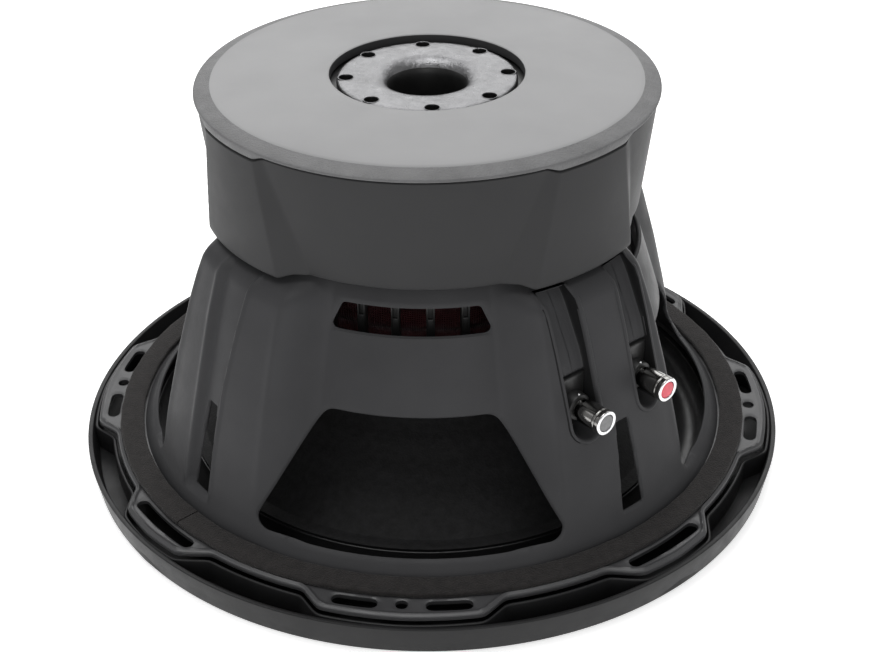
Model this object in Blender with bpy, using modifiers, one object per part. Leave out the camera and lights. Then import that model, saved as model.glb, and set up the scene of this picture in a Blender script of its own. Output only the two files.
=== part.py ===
"""Car subwoofer speaker, 12 inch class, as separate parts. It stands on its trim ring, magnet upwards.

Origin: middle of the trim ring's front face. +Z runs along the voice coil's axis, towards the magnet.
The frame has four windows and four legs, a quarter turn apart. WINDOW_ANGLE is the middle of the first window.
"""

from math import cos, degrees, pi, radians, sin

import bmesh
import bpy
from mathutils import Matrix, Vector

MM = 0.001
GAP = 0.3 * MM

# Driving dimensions
WINDOW_ANGLE = radians(-95)
QUARTER = radians(90)
LEG_ANGLE = WINDOW_ANGLE + QUARTER / 2
TRIM_RADIUS = 162.3 * MM
TRIM_HEIGHT = 13.3 * MM
FLANGE_BACK = 16 * MM
FLANGE_THICKNESS = 2.5 * MM
BOLT_CIRCLE = 150 * MM
SCREW_CIRCLE = 66 * MM
SHEET = 2.2 * MM
FOOT_RADIUS = 135.3 * MM
SEAT_HEIGHT = 129 * MM
TOP_PLATE_THICKNESS = 8 * MM
MAGNET_THICKNESS = 15.7 * MM
MAGNET_RADIUS = 84 * MM
MAGNET_BORE = 46 * MM
BACK_PLATE_THICKNESS = 7 * MM
POLE_RADIUS = 30.3 * MM
VENT_RADIUS = 16.5 * MM
BOOT_HEIGHT = 181 * MM
BOOT_RADIUS = 99 * MM
BOOT_EDGE = 177.6 * MM
BOOT_HOLE = 41.5 * MM
BOOT_WALL = 2.6 * MM
TERMINAL_OFFSET = 18 * MM
TERMINAL_HEIGHT = 75.2 * MM
BUTTON_END = 130 * MM
BUTTON_TRAVEL = 3 * MM

RING_STEPS = 60
SMALL_STEPS = 24

# Heights that follow from the stack
TOP_PLATE_BASE = SEAT_HEIGHT + GAP
TOP_PLATE_TOP = TOP_PLATE_BASE + TOP_PLATE_THICKNESS
MAGNET_BASES = (TOP_PLATE_TOP + GAP, TOP_PLATE_TOP + 2 * GAP + MAGNET_THICKNESS)
BACK_PLATE_BASE = MAGNET_BASES[1] + MAGNET_THICKNESS + GAP
BACK_PLATE_TOP = BACK_PLATE_BASE + BACK_PLATE_THICKNESS

for old in list(bpy.data.objects):
    bpy.data.objects.remove(old)

scene_root = bpy.context.scene.collection
parts = bpy.data.collections.new("subwoofer")
cutters = bpy.data.collections.new("cutters")
scene_root.children.link(parts)
scene_root.children.link(cutters)


# Materials

def material(name, colour, roughness, metallic=0.0):
    mat = bpy.data.materials.new(name)
    mat.use_nodes = True
    shader = mat.node_tree.nodes["Principled BSDF"]
    shader.inputs["Base Color"].default_value = (*colour, 1)
    shader.inputs["Roughness"].default_value = roughness
    shader.inputs["Metallic"].default_value = metallic
    return mat


TRIM_PLASTIC = material("trim_plastic", (0.035, 0.035, 0.037), 0.5)
FELT = material("felt", (0.035, 0.031, 0.029), 0.95)
BLACK_PAINT = material("black_paint", (0.045, 0.045, 0.048), 0.45)
BLACK_PLASTIC = material("black_plastic", (0.02, 0.02, 0.02), 0.4)
SPIDER_CLOTH = material("spider_cloth", (0.16, 0.015, 0.02), 0.9)
CONE_PAPER = material("cone_paper", (0.02, 0.02, 0.02), 0.8)
SURROUND_RUBBER = material("surround_rubber", (0.02, 0.02, 0.02), 0.7)
CAP_PLASTIC = material("cap_plastic", (0.03, 0.03, 0.03), 0.4)
FORMER_FOIL = material("former_foil", (0.6, 0.6, 0.6), 0.35, 1.0)
COPPER = material("copper_wire", (0.75, 0.32, 0.14), 0.35, 1.0)
ZINC = material("zinc_steel", (0.55, 0.55, 0.56), 0.3, 1.0)
FERRITE = material("ferrite", (0.05, 0.05, 0.055), 0.6)
RUBBER = material("boot_rubber", (0.06, 0.06, 0.062), 0.5)
CHROME = material("chrome", (0.75, 0.75, 0.76), 0.12, 1.0)
RED_PLASTIC = material("red_plastic", (0.6, 0.05, 0.06), 0.4)
GREY_PLASTIC = material("grey_plastic", (0.12, 0.12, 0.12), 0.5)
BRAID = material("tinsel_braid", (0.65, 0.5, 0.35), 0.4, 1.0)


# Helpers

def add(name, mesh, mat=None, collection=parts):
    obj = bpy.data.objects.new(name, mesh)
    collection.objects.link(obj)
    if mat:
        mesh.materials.append(mat)
    return obj


def mesh_from(name, bm):
    bmesh.ops.recalc_face_normals(bm, faces=bm.faces)
    mesh = bpy.data.meshes.new(name)
    bm.to_mesh(mesh)
    bm.free()
    return mesh


def as_cutter(obj):
    for collection in list(obj.users_collection):
        collection.objects.unlink(obj)
    cutters.objects.link(obj)
    obj.hide_render = True
    obj.display_type = "WIRE"
    return obj


def boolean(obj, other, operation="DIFFERENCE"):
    mod = obj.modifiers.new(operation.lower(), "BOOLEAN")
    mod.operation = operation
    mod.object = other
    as_cutter(other)


def smooth(obj, angle=35):
    obj.data.shade_smooth()
    obj.data.set_sharp_from_angle(angle=radians(angle))


def turned(name, profile, mat=None, steps=RING_STEPS, on_axis=False):
    """A solid turned about Z from (radius, height) points. on_axis: its ends lie on the axis."""
    area = sum(a[0] * b[1] - b[0] * a[1] for a, b in zip(profile, profile[1:] + profile[:1]))
    points = list(profile) if area < 0 else list(reversed(profile))
    if on_axis:
        while points[0][0] > 0 or points[-1][0] > 0:
            points = points[1:] + points[:1]
    bm = bmesh.new()
    verts = [bm.verts.new((r, 0, z)) for r, z in points]
    for a, b in zip(verts, verts[1:] + ([] if on_axis else verts[:1])):
        bm.edges.new((a, b))
    mesh = bpy.data.meshes.new(name)
    bm.to_mesh(mesh)
    bm.free()
    obj = add(name, mesh, mat)
    mod = obj.modifiers.new("turn", "SCREW")
    mod.steps = mod.render_steps = steps
    mod.use_merge_vertices = True
    mod.merge_threshold = 0.00001
    mod.use_smooth_shade = True
    return obj


def extruded(name, outline, low, high, mat=None):
    """A flat outline in X and Y, given thickness from low to high along Z."""
    bm = bmesh.new()
    face = bm.faces.new([bm.verts.new((x, y, low)) for x, y in outline])
    up = bmesh.ops.extrude_face_region(bm, geom=[face])
    moved = [v for v in up["geom"] if isinstance(v, bmesh.types.BMVert)]
    bmesh.ops.translate(bm, verts=moved, vec=(0, 0, high - low))
    return add(name, mesh_from(name, bm), mat)


def lofted(name, rings, mat=None, closed=False):
    """A loft through rings of points. closed joins the last ring to the first, else flat ends cap it."""
    bm = bmesh.new()
    rows = [[bm.verts.new(p) for p in ring] for ring in rings]
    count = len(rows[0])
    pairs = list(zip(rows, rows[1:] + rows[:1])) if closed else list(zip(rows, rows[1:]))
    for low, high in pairs:
        for i in range(count):
            j = (i + 1) % count
            bm.faces.new((low[i], low[j], high[j], high[i]))
    if not closed:
        bm.faces.new(rows[0])
        bm.faces.new(rows[-1])
    return add(name, mesh_from(name, bm), mat)


def cylinder(name, radius, depth, steps=SMALL_STEPS, mat=None):
    """A cylinder from Z = 0 to Z = depth."""
    bm = bmesh.new()
    bmesh.ops.create_cone(bm, cap_ends=True, segments=steps, radius1=radius, radius2=radius, depth=depth)
    bmesh.ops.translate(bm, verts=bm.verts, vec=(0, 0, depth / 2))
    return add(name, mesh_from(name, bm), mat)


def box(name, low, high, mat=None):
    bm = bmesh.new()
    bmesh.ops.create_cube(bm, size=1)
    size = Vector(high) - Vector(low)
    bmesh.ops.scale(bm, verts=bm.verts, vec=size)
    bmesh.ops.translate(bm, verts=bm.verts, vec=(Vector(high) + Vector(low)) / 2)
    return add(name, mesh_from(name, bm), mat)


def polar(radius, angle, height=None):
    point = (radius * cos(angle), radius * sin(angle))
    return point if height is None else (*point, height)


def outward(angle):
    """A frame whose local Y runs outward at this angle, X along the rim and Z up."""
    return Matrix.Rotation(angle - pi / 2, 4, "Z")


def rounded(corners, steps=4):
    """An outline whose (x, y, radius) corners are rounded by arcs."""
    points = []
    count = len(corners)
    for i, (x, y, radius) in enumerate(corners):
        here = Vector((x, y))
        back = (Vector(corners[i - 1][:2]) - here).normalized()
        ahead = (Vector(corners[(i + 1) % count][:2]) - here).normalized()
        half = back.angle(ahead) / 2
        if radius == 0:
            points.append(here)
            continue
        centre = here + (back + ahead).normalized() * radius / sin(half)
        reach = radius / (sin(half) / cos(half))
        start = here + back * reach - centre
        turn = back.angle_signed(ahead)
        sweep = (pi - abs(turn)) * (1 if turn > 0 else -1)
        for k in range(steps + 1):
            swung = start.copy()
            swung.rotate(Matrix.Rotation(sweep * k / steps, 2))
            points.append(centre + swung)
    return [(p.x, p.y) for p in points]


def place_outward(obj, angle, across, height, distance):
    """Turns an object whose axis is Z so that it points outward, and sets its base at this distance."""
    pose = outward(angle) @ Matrix.Translation((across, distance, height)) @ Matrix.Rotation(-pi / 2, 4, "X")
    obj.matrix_world = pose


def radial_cutter(name, outline, low, high, angle):
    """A prism that runs outward at this angle. Its outline is across the rim and up."""
    obj = extruded(name, outline, low, high)
    # The outline's Y becomes Z, and the extrusion runs along local Y.
    turn = Matrix(((1, 0, 0, 0), (0, 0, 1, 0), (0, 1, 0, 0), (0, 0, 0, 1)))
    obj.data.transform(outward(angle) @ turn)
    obj.data.flip_normals()
    return as_cutter(obj)


# Shape of the frame

def step(value, low, high):
    """0 before low, 1 after high, and a smooth rise between."""
    t = min(max((value - low) / (high - low), 0), 1)
    return t * t * (3 - 2 * t)


def along(points, value):
    """Reads a line through (value, result) points."""
    for (a, ra), (b, rb) in zip(points, points[1:]):
        if value <= b:
            return ra + (rb - ra) * (value - a) / (b - a)
    return points[-1][1]


LEG_LINE = [
    (16 * MM, FOOT_RADIUS),
    (19 * MM, 134 * MM),
    (24 * MM, 132.2 * MM),
    (50 * MM, 126.5 * MM),
    (75 * MM, 120.2 * MM),
    (100 * MM, 112.1 * MM),
    (117 * MM, 105.5 * MM),
    (120 * MM, 102.3 * MM),
    (122 * MM, 98 * MM),
    (123.5 * MM, 94 * MM),
    (126 * MM, 90 * MM),
    (SEAT_HEIGHT, 86 * MM),
]
PANEL_LINE = [
    (16 * MM, FOOT_RADIUS),
    (19 * MM, 133 * MM),
    (22.6 * MM, 129.5 * MM),
    (27 * MM, 125 * MM),
    (36 * MM, 118.5 * MM),
    (47 * MM, 113.4 * MM),
    (117 * MM, 91 * MM),
    (122 * MM, 88.5 * MM),
    (125 * MM, 86.5 * MM),
    (SEAT_HEIGHT, 84 * MM),
]


def from_window(angle):
    """The angle from the middle of the nearest window, from -45 to 45 degrees."""
    return (angle - WINDOW_ANGLE + QUARTER / 2) % QUARTER - QUARTER / 2


def wall_radius(angle, height, inset=0.0):
    """The basket wall's outer radius. Legs stand proud of the window panels."""
    side = degrees(abs(from_window(angle)))
    leg = step(side, 20, 30)
    panel = along(PANEL_LINE, height)
    return panel + (along(LEG_LINE, height) - panel) * leg - inset


def wall_ring(height, inset=0.0):
    """One level of the wall, with points close together where the wall bends."""
    sides = [-20, -15, -10, -5, 0, 5, 10, 15, 20, 23.3, 26.7, 30, 37.5, 45, 52.5, 60, 63.3, 66.7]
    angles = [WINDOW_ANGLE + QUARTER * quarter + radians(a) for quarter in range(4) for a in sides]
    return [polar(wall_radius(a, height, inset), a, height) for a in angles]


def tab_radius(angle, offset=0.0):
    """The flange outline: one kind of tab in line with each window, another with each leg."""
    side = degrees(abs(from_window(angle)))
    line = [(0, 157.5), (12.3, 156.8), (16, 148.5), (33.5, 148.5), (38, 157.6), (45, 158.4)]
    return along([(a, r * MM) for a, r in line], side) + offset


def tab_outline(offset=0.0):
    corners = [0, 6, 12.3, 16, 21, 27, 33.5, 38, 41.5]
    angles = []
    for quarter in range(4):
        middle = WINDOW_ANGLE + QUARTER * quarter
        angles += [middle + radians(c) for c in corners]
        angles += [middle + QUARTER - radians(c) for c in reversed(corners[1:])]
        angles.insert(len(angles) - len(corners) + 1, middle + QUARTER / 2)
    return [polar(tab_radius(a, offset), a) for a in angles]


def slot_outline(radius, from_angle, to_angle, half_width, steps=2):
    """A slot that follows a circle, with round ends."""
    points = []
    span = [from_angle + (to_angle - from_angle) * i / steps for i in range(steps + 1)]
    points += [polar(radius + half_width, a) for a in span]
    centre = Vector(polar(radius, to_angle))
    points += [tuple(centre + Vector(polar(half_width, to_angle + pi * k / 3))) for k in (1, 2)]
    points += [polar(radius - half_width, a) for a in reversed(span)]
    centre = Vector(polar(radius, from_angle))
    points += [tuple(centre + Vector(polar(half_width, from_angle + pi + pi * k / 3))) for k in (1, 2)]
    return points


# Basket

WINDOW_CORNERS = ((-34.4, 74.2, 7), (34.4, 74.2, 7), (65, 24, 5), (-65, 24, 5))
VENT_CORNERS = ((-27.8, 117.4, 1.5), (27.8, 117.4, 1.5), (33.3, 106.5, 1.5), (-33.3, 106.5, 1.5))
POCKET_FLOOR = 107 * MM
POCKET_HALF_WIDTH = 7.2 * MM
POCKET_FOOT = 61 * MM
# How far out the floors of a terminal pocket and of a plain leg's channel lie, from (height, distance) points.
POCKET_LINE = ((54, 107), (90, 107), (117, 98.5), (127, 92))
CHANNEL_LINE = (
    (20, 129.7), (50, 123.3), (75, 116.9), (100, 108.7), (117, 101.6), (121, 96.4), (127, 89),
)
CHANNEL_HALF_WIDTH = 6.5 * MM
SLIT_CORNERS = ((-2.9, 64.5, 0), (2.9, 64.5, 0), (5.3, 25.5, 0), (-5.3, 25.5, 0))


def in_metres(corners):
    return [(x * MM, y * MM, radius * MM) for x, y, radius in corners]


def pocket_outline(middle, half_width, foot, top):
    """A channel with a round foot."""
    ends = [
        (middle + half_width * cos(a), foot + half_width + half_width * sin(a))
        for a in [pi + pi * k / 4 for k in range(5)]
    ]
    return ends + [(middle + half_width, top), (middle - half_width, top)]


def channel_cutter(angle, middle, half_width, line, foot, inset=0.0):
    """An upright channel with a round foot, whose floor follows a line of (height, distance) points."""
    outline = pocket_outline(middle, half_width, foot, line[-1][0] * MM)
    cutter = radial_cutter("channel", outline, 60 * MM, 150 * MM, angle)
    floor = [((distance * MM) - inset, height * MM) for height, distance in line]
    side_view = [(50 * MM, floor[0][1])] + floor + [(50 * MM, floor[-1][1])]
    inner = extruded("channel_floor", side_view, middle - 20 * MM, middle + 20 * MM)
    # The outline's X runs outward, its Y is height, and its thickness lies across the leg.
    turn = Matrix(((0, 0, 1, 0), (1, 0, 0, 0), (0, 1, 0, 0), (0, 0, 0, 1)))
    inner.data.transform(outward(angle) @ turn)
    boolean(cutter, inner)
    return cutter


def make_basket():
    heights = [16, 19, 22.6, 27, 36, 47, 64, 82, 100, 117, 120, 122, 123.5, 126]
    outer = [wall_ring(h * MM) for h in heights] + [wall_ring(SEAT_HEIGHT)]
    basket = lofted("basket", outer, BLACK_PAINT)
    # The flange joins the wall's foot.
    flange = extruded("flange_union", tab_outline(), FLANGE_BACK - FLANGE_THICKNESS, FLANGE_BACK)
    boolean(basket, flange, "UNION")
    # The inside of the wall, less the sheet's thickness, with the terminal pockets' walls left standing in it.
    inner_heights = [12, 19, 22.6, 36, 47, 64, 82, 100, 117, 120, 123.5]
    inner = [wall_ring(max(h, 16) * MM, SHEET) for h in inner_heights]
    inner[0] = [(x, y, 12 * MM) for x, y, _ in inner[0]]
    inner.append([(x, y, SEAT_HEIGHT - 2.6 * MM) for x, y, _ in wall_ring(126 * MM, SHEET)])
    hollow = lofted("hollow", inner)
    wall = 1.6 * MM
    channels = []
    for quarter in range(4):
        angle = LEG_ANGLE + QUARTER * quarter
        if quarter % 2:
            foot = SLIT_CORNERS[2][1] * MM
            channels.append((angle, 0, CHANNEL_HALF_WIDTH, CHANNEL_LINE, foot))
        else:
            for side in (-1, 1):
                middle = TERMINAL_OFFSET * side
                channels.append((angle, middle, POCKET_HALF_WIDTH, POCKET_LINE, POCKET_FOOT))
    for angle, middle, half_width, line, foot in channels:
        boolean(hollow, channel_cutter(angle, middle, half_width + wall, line, foot - wall, wall))
    boolean(basket, hollow)
    for angle, middle, half_width, line, foot in channels:
        boolean(basket, channel_cutter(angle, middle, half_width, line, foot))
        if line is POCKET_LINE:
            hole = cylinder("post_hole", 2.6 * MM, 30 * MM, 10)
            place_outward(hole, angle, middle, TERMINAL_HEIGHT, 90 * MM)
            boolean(basket, hole)
    for quarter in range(4):
        window = WINDOW_ANGLE + QUARTER * quarter
        leg = window + QUARTER / 2
        outline = rounded(in_metres(WINDOW_CORNERS), 3)
        boolean(basket, radial_cutter("window", outline, 60 * MM, 170 * MM, window))
        outline = rounded(in_metres(VENT_CORNERS), 2)
        boolean(basket, radial_cutter("vent", outline, 60 * MM, 130 * MM, window))
        outline = [(x, y) for x, y, _ in in_metres(SLIT_CORNERS)]
        boolean(basket, radial_cutter("slit", outline, 100 * MM, 150 * MM, leg))
        for low, high in ((-11.2, -3.6), (3.6, 11.2), (37.8, 52.2)):
            ends = (window + radians(low), window + radians(high))
            slot = slot_outline(BOLT_CIRCLE, *ends, 2.8 * MM)
            boolean(basket, extruded("slot", slot, 10 * MM, 20 * MM))
        hole = cylinder("tab_hole", 2.6 * MM, 10 * MM, 10)
        hole.location = polar(BOLT_CIRCLE, window, 10 * MM)
        boolean(basket, hole)
        hole = cylinder("screw_hole", 2.6 * MM, 10 * MM, 10)
        hole.location = polar(SCREW_CIRCLE, leg, 122 * MM)
        boolean(basket, hole)
    # The hole that the voice coil passes through.
    bore = cylinder("coil_hole", 45 * MM, 10 * MM, 36)
    bore.location = (0, 0, 122 * MM)
    boolean(basket, bore)
    smooth(basket)
    return basket


def make_screws():
    for quarter in range(4):
        leg = LEG_ANGLE + QUARTER * quarter
        top = SEAT_HEIGHT + TOP_PLATE_THICKNESS - 1 * MM
        head = SEAT_HEIGHT - 2.6 * MM - GAP
        profile = [
            (0, top), (2.2 * MM, top), (2.2 * MM, head), (4.4 * MM, head),
            (4.4 * MM, head - 2.6 * MM), (0, head - 2.6 * MM),
        ]
        screw = turned(f"basket_screw_{quarter + 1}", profile, ZINC, 16, on_axis=True)
        screw.location = polar(SCREW_CIRCLE, leg, 0)


# Rim

def make_trim_ring():
    wall = 2.3 * MM
    inner = 136 * MM
    profile = [
        (160 * MM, 0), (TRIM_RADIUS, TRIM_HEIGHT), (TRIM_RADIUS - wall, TRIM_HEIGHT),
        (158 * MM, 2.6 * MM), (inner + wall, 2.6 * MM), (inner + wall, 11 * MM),
        (inner, 11 * MM), (inner, 1.5 * MM), (inner + 1.5 * MM, 0),
    ]
    trim = turned("trim_ring", profile, TRIM_PLASTIC)
    rib = extruded("rib", tab_outline(2.4 * MM), 1 * MM, TRIM_HEIGHT - 0.2 * MM)
    room = extruded("rib_room", tab_outline(0.8 * MM), 0, 20 * MM)
    boolean(rib, room)
    boolean(trim, rib, "UNION")
    smooth(trim)


def make_rear_gasket():
    low, high = FLANGE_BACK + GAP, FLANGE_BACK + 2.5 * MM
    profile = [(147 * MM, low), (147 * MM, high), (136 * MM, high), (136 * MM, low)]
    turned("rear_gasket", profile, FELT)


# Moving assembly

def make_surround():
    """A half roll towards the front between two flat landings."""
    middle, radius, level, thick = 122.5 * MM, 9 * MM, 11.8 * MM, 1.1 * MM
    arc = [pi * k / 5 for k in range(6)]
    outer = [(middle + radius * cos(a), level - radius * sin(a)) for a in arc]
    inner = [(middle + (radius - thick) * cos(a), level + thick - radius * sin(a)) for a in arc]
    profile = [(146 * MM, level)] + outer + [(107 * MM, level)]
    profile += [(107 * MM, level + thick)] + list(reversed(inner)) + [(146 * MM, level + thick)]
    turned("surround", profile, SURROUND_RUBBER, 44)


def make_cone():
    profile = [
        (114 * MM, 13.2 * MM), (114 * MM, 14.2 * MM), (108 * MM, 14.2 * MM),
        (36.5 * MM, 74 * MM), (32.9 * MM, 74 * MM), (32.9 * MM, 72.8 * MM), (36 * MM, 72.8 * MM),
        (107 * MM, 13.2 * MM),
    ]
    turned("cone", profile, CONE_PAPER, 40)


def make_dust_cap():
    """A shallow dome over the cone's neck."""
    rim, depth, thick, base = 58 * MM, 17 * MM, 1.2 * MM, 52.6 * MM
    steps = 4
    front = [(rim * k / steps, base - depth * (1 - (k / steps) ** 2)) for k in range(steps + 1)]
    back = [(r, z + thick) for r, z in front]
    turned("dust_cap", list(reversed(back)) + front, CAP_PLASTIC, 32, on_axis=True)


def make_coil():
    former = [(32.5 * MM, 66 * MM), (32.5 * MM, 147 * MM), (31.6 * MM, 147 * MM), (31.6 * MM, 66 * MM)]
    turned("coil_former", former, FORMER_FOIL, 32)
    for name, inner in (("coil_winding_a", 32.8 * MM), ("coil_winding_b", 34.1 * MM)):
        outer = inner + 1 * MM
        profile = [(outer, 120 * MM), (outer, 146 * MM), (inner, 146 * MM), (inner, 120 * MM)]
        turned(name, profile, COPPER, 32)


SPIDER_EDGE = 91 * MM
STANDOFF_POSTS = 36


def make_spider():
    """A corrugated disc from the former to the standoff ring."""
    level, thick, rise = 92 * MM, 1 * MM, 2.2 * MM
    inner, outer, waves = 33.2 * MM, 77 * MM, 2
    count = 2 * waves
    line = [(SPIDER_EDGE, level)]
    line += [
        (outer - (outer - inner - 4 * MM) * k / count, level + (rise if k % 2 else -rise) * (0 < k < count))
        for k in range(count + 1)
    ]
    line.append((inner, level))
    profile = line + [(r, z + thick) for r, z in reversed(line)]
    turned("spider", profile, SPIDER_CLOTH, 36)


def make_spider_standoff():
    """A ring of posts that holds the spider off the basket's seat and lets air through."""
    low, high = 93.4 * MM, SEAT_HEIGHT - 2.6 * MM - GAP
    inner, outer = 79.2 * MM, 82.5 * MM
    profile = [
        (outer, high), (inner, high), (inner, low + 2.5 * MM), (78 * MM, low + 2.5 * MM),
        (78 * MM, low), (SPIDER_EDGE, low), (SPIDER_EDGE, low + 2.5 * MM), (outer, low + 2.5 * MM),
    ]
    standoff = turned("spider_standoff", profile, BLACK_PLASTIC, STANDOFF_POSTS)
    gaps = STANDOFF_POSTS // 2
    for k in range(gaps):
        middle = WINDOW_ANGLE + 2 * pi * k / STANDOFF_POSTS
        gap = box(
            "post_gap", (-5.6 * MM, -90 * MM, low + 4 * MM), (5.6 * MM, 90 * MM, high - 4 * MM)
        )
        gap.data.transform(outward(middle))
        boolean(standoff, gap)


# Motor

def make_top_plate():
    outer, inner = 80 * MM, 36.5 * MM
    low, high = TOP_PLATE_BASE, TOP_PLATE_TOP
    plate = turned("top_plate", [(outer, low), (outer, high), (inner, high), (inner, low)], ZINC, 48)
    for quarter in range(4):
        hole = cylinder("plate_hole", 2.6 * MM, 20 * MM, 10)
        hole.location = polar(SCREW_CIRCLE, LEG_ANGLE + QUARTER * quarter, 125 * MM)
        boolean(plate, hole)


def make_magnets():
    for name, low in zip(("magnet_front", "magnet_rear"), MAGNET_BASES):
        high = low + MAGNET_THICKNESS
        edge = 2 * MM
        profile = [
            (MAGNET_RADIUS - edge, low), (MAGNET_RADIUS, low + edge), (MAGNET_RADIUS, high - edge),
            (MAGNET_RADIUS - edge, high), (MAGNET_BORE, high), (MAGNET_BORE, low),
        ]
        turned(name, profile, FERRITE, 40)


BOSS_RADIUS = 38 * MM
BOSS_TOP = 180 * MM
SMALL_VENTS = 8


def make_yoke():
    """Back plate, pole and the raised boss that shows through the boot, in one forging."""
    plate = 80 * MM
    profile = [
        (plate, BACK_PLATE_BASE), (plate, BACK_PLATE_TOP), (BOSS_RADIUS, BACK_PLATE_TOP),
        (BOSS_RADIUS, BOSS_TOP - 2 * MM), (BOSS_RADIUS - 1.5 * MM, BOSS_TOP), (27 * MM, BOSS_TOP),
        (21 * MM, BOSS_TOP - 1.5 * MM), (17.6 * MM, BOSS_TOP - 5 * MM), (VENT_RADIUS, BOSS_TOP - 11 * MM),
        (VENT_RADIUS, SEAT_HEIGHT), (POLE_RADIUS, SEAT_HEIGHT), (POLE_RADIUS, BACK_PLATE_BASE),
    ]
    yoke = turned("t_yoke", profile, ZINC, 40)
    for k in range(SMALL_VENTS):
        angle = radians(-87 + 45 * k)
        vent = cylinder("small_vent", 2.4 * MM, 30 * MM, 10)
        vent.location = polar(33.9 * MM, angle, BACK_PLATE_BASE - 5 * MM)
        boolean(yoke, vent)
    smooth(yoke)


# Boot

def boot_radius(angle, height, inset=0.0):
    """The cover's side: upright faces over the legs, faces over the windows that slope in as they go down."""
    down = min(max((176 * MM - height) / (50 * MM), 0), 1)
    side = degrees(abs(from_window(angle)))
    half = 33.5 - 9.5 * down
    inward = 6.5 * MM * down
    blend = 1 - step(side, half - 0.5, half + 1.5 + 6 * down)
    return BOOT_RADIUS - inward * blend - inset


def make_boot():
    sides = [-35.5, -33, -25, -15, -5, 5, 15, 25, 33, 35.5, 40, 45, 50]
    angles = [WINDOW_ANGLE + QUARTER * quarter + radians(a) for quarter in range(4) for a in sides]

    def ring(height, inset=0.0, radius=None):
        return [polar(radius or boot_radius(a, height, inset), a, height) for a in angles]

    def rim(inset):
        lift = [(124.6 + 2.2 * (degrees(abs(from_window(a))) < 28)) * MM for a in angles]
        return [polar(boot_radius(a, h, inset), a, h) for a, h in zip(angles, lift)]

    under = BACK_PLATE_TOP + GAP
    outside = [ring(h) for h in (150 * MM, BOOT_EDGE)]
    top = [ring(BOOT_HEIGHT - 0.9 * MM, 7.4 * MM), ring(BOOT_HEIGHT, 25 * MM)]
    lip = [ring(BOOT_HEIGHT, radius=BOOT_HOLE), ring(under, radius=BOOT_HOLE)]
    inside = [ring(under, 3.8 * MM), ring(150 * MM, BOOT_WALL), rim(BOOT_WALL)]
    lofted("magnet_boot", [rim(0)] + outside + top + lip + inside, RUBBER, closed=True)
    smooth(bpy.data.objects["magnet_boot"])


# Terminals

TERMINALS = (("a_minus", 0, 1), ("a_plus", 0, -1), ("b_minus", 2, 1), ("b_plus", 2, -1))
PLATE_FACE = POCKET_FLOOR + 3.3 * MM
BUTTON_BASE = BUTTON_END - 9.5 * MM


def make_terminal(label, pair, side):
    angle = LEG_ANGLE + QUARTER * pair
    across = TERMINAL_OFFSET * side

    outline = pocket_outline(0, POCKET_HALF_WIDTH - 0.3 * MM, POCKET_FOOT + 0.3 * MM, 88 * MM)
    plate = extruded(f"terminal_plate_{label}", outline, 0, 3 * MM, BLACK_PLASTIC)
    # The outline's Y becomes height, and its thickness runs outward.
    turn = Matrix(((1, 0, 0, across), (0, 0, 1, POCKET_FLOOR + GAP), (0, 1, 0, 0), (0, 0, 0, 1)))
    plate.data.transform(outward(angle) @ turn)
    plate.data.flip_normals()
    hole = cylinder("stem_hole", 2.6 * MM, 30 * MM, 12)
    place_outward(hole, angle, across, TERMINAL_HEIGHT, 90 * MM)
    boolean(plate, hole)

    # Along the terminal's own axis, with 0 at the plate's face.
    nose = BUTTON_BASE - PLATE_FACE
    length = BUTTON_END - BUTTON_BASE
    tip = nose + length - 2 * MM - BUTTON_TRAVEL - GAP
    post = [
        (0, tip), (2 * MM, tip), (2 * MM, nose + 0.9 * MM), (3.9 * MM, nose + 0.9 * MM),
        (4.4 * MM, nose - 4 * MM), (4.9 * MM, nose - 5 * MM), (4.9 * MM, GAP),
        (2.2 * MM, GAP), (2.2 * MM, -10 * MM), (0, -10 * MM),
    ]
    body = turned(f"terminal_post_{label}", post, CHROME, 14, on_axis=True)
    place_outward(body, angle, across, TERMINAL_HEIGHT, PLATE_FACE)
    wire = cylinder("wire_hole", 1.1 * MM, 20 * MM, 10)
    wire.matrix_world = outward(angle) @ Matrix.Translation(
        (across, BUTTON_BASE - 7.5 * MM, TERMINAL_HEIGHT - 10 * MM)
    )
    boolean(body, wire)

    sleeve = [
        (5.3 * MM, 0), (5.4 * MM, length - 0.6 * MM), (5 * MM, length), (3.7 * MM, length),
        (3.7 * MM, length - 1 * MM), (0, length - 1 * MM), (0, length - 2 * MM),
        (4.6 * MM, length - 2 * MM), (4.6 * MM, 0),
    ]
    button = turned(f"terminal_button_{label}", sleeve, CHROME, 16, on_axis=True)
    place_outward(button, angle, across, TERMINAL_HEIGHT, BUTTON_BASE)

    mat = RED_PLASTIC if side < 0 else GREY_PLASTIC
    insert = cylinder(f"terminal_insert_{label}", 3.4 * MM, 0.6 * MM, 16, mat)
    place_outward(insert, angle, across, TERMINAL_HEIGHT, BUTTON_END - 1 * MM + 0.25 * MM)

    make_spring(f"terminal_spring_{label}", angle, across)

    lug = box(f"terminal_lug_{label}", (-4 * MM, -0.4 * MM, -4.5 * MM), (4 * MM, 0.4 * MM, 9 * MM), CHROME)
    lug.data.transform(
        outward(angle) @ Matrix.Translation((across, POCKET_FLOOR - 2.6 * MM, TERMINAL_HEIGHT))
    )
    hole = cylinder("lug_hole", 2.6 * MM, 30 * MM, 12)
    place_outward(hole, angle, across, TERMINAL_HEIGHT, 90 * MM)
    boolean(lug, hole)


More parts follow.
